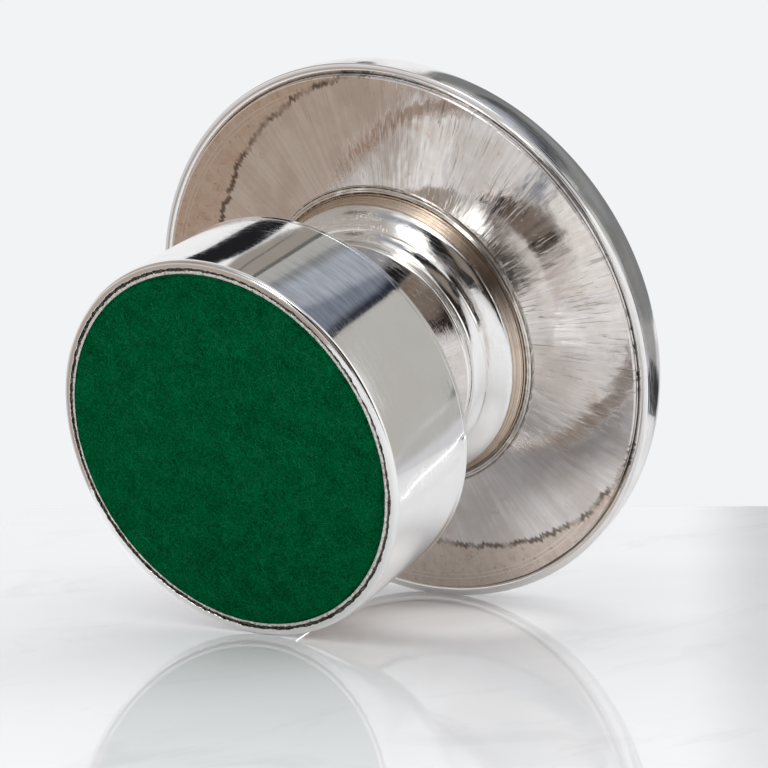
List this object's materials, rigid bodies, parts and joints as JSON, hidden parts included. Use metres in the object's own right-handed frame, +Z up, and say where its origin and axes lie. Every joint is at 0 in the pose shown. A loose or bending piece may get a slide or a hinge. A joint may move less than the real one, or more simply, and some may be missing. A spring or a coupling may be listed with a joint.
{
  "type": "hand ink blotter",
  "caption": "Round pedestal hand blotter: weighted felt-faced drum, moulded neck and wide low-domed hand plate on one central stud.",
  "frame": {"origin": "centre of the felt's lower face, on the surface that the blotter stands on", "axes": "+Z up along the axis of revolution, from the felt through the neck to the hand plate; X and Y are any two directions across it"},
  "size_m": [0.1098, 0.1098, 0.0673],
  "materials": {
    "felt": "dense pressed wool felt, deep green, matt",
    "white_metal": "rolled white metal, dull, with a cut edge",
    "pitch": "dark setting pitch, crumbled at the seam",
    "polished_silver": "mirror polished silver with fine wiping scratches",
    "hammered_silver": "raw silver with radial planishing marks and a dull warm tarnish",
    "turned_silver": "unpolished silver with concentric turning lines",
    "cast_iron": "as cast",
    "brass": "turned brass",
    "steel": "plain machined steel"
  },
  "bodies": {
    "root": {"felt_pad": "felt", "base_plate": "white_metal", "filler_pitch": "pitch", "drum_wall": "polished_silver", "drum_top_plate": "polished_silver", "cast_weight": "cast_iron", "neck_shell": "polished_silver", "neck_bead": "polished_silver", "neck_flare": "polished_silver", "turned_collar": "turned_silver", "collar_moulding": "polished_silver", "plate_underside": "hammered_silver", "plate_rim_wire": "polished_silver", "plate_top_shell": "polished_silver", "plate_boss": "brass", "central_stud": "steel", "spacer_tube": "steel", "flat_washer": "steel", "spring_washer": "steel", "clamp_nut": "steel"}
  },
  "joints": []
}
